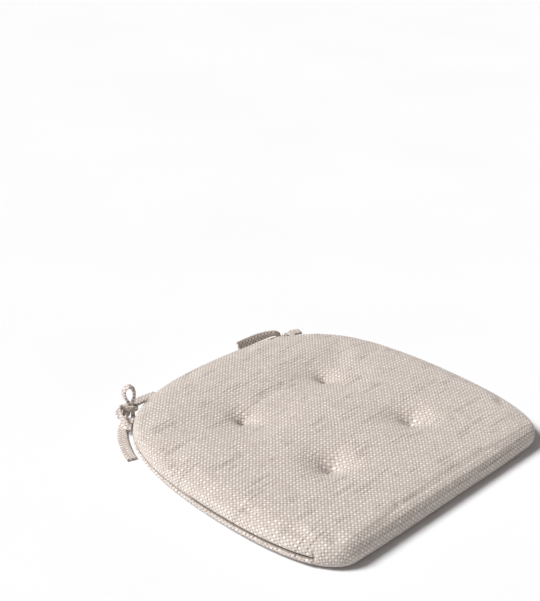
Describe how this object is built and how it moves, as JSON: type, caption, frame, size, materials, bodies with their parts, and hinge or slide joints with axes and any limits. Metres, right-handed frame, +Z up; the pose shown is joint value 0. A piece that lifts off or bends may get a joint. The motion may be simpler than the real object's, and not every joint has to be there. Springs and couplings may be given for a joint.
{
  "type": "seat cushion",
  "caption": "Thin tufted chair seat cushion in coarse oatmeal weave, straight front and rounded back, with cloth ties knotted at the back corners.",
  "frame": {"origin": "middle of the underside's bounding rectangle, tie tapes not counted, on the surface the cushion lies on", "axes": "+Z up through the cushion, +X to the right of someone facing the front edge (a sitter's left), +Y from the straight front edge to the back"},
  "size_m": [0.42, 0.4117, 0.0495],
  "materials": {
    "cover_cloth": "coarse oatmeal and taupe hopsack weave, matt",
    "wadding": "bonded white polyester wadding, matt",
    "foam": "cream open-cell polyurethane foam",
    "tuft_thread": "waxed taupe upholstery twine",
    "seam_thread": "taupe polyester sewing thread",
    "tie_tape": "folded tape of the cover's hopsack cloth"
  },
  "bodies": {
    "root": {"cover_cloth": "cover_cloth", "wadding_upper": "wadding", "wadding_lower": "wadding", "foam_core": "foam", "tuft_thread_front_left": "tuft_thread", "tuft_thread_front_right": "tuft_thread", "tuft_thread_back_left": "tuft_thread", "tuft_thread_back_right": "tuft_thread", "side_seam_left": "seam_thread", "side_seam_right": "seam_thread", "back_seam": "seam_thread", "corner_seam_left": "seam_thread", "corner_seam_right": "seam_thread", "bartack_left": "seam_thread", "bartack_right": "seam_thread", "tie_left_loop": "tie_tape", "tie_left_wrap": "tie_tape", "tie_right_loop": "tie_tape", "tie_right_wrap": "tie_tape"}
  },
  "joints": []
}
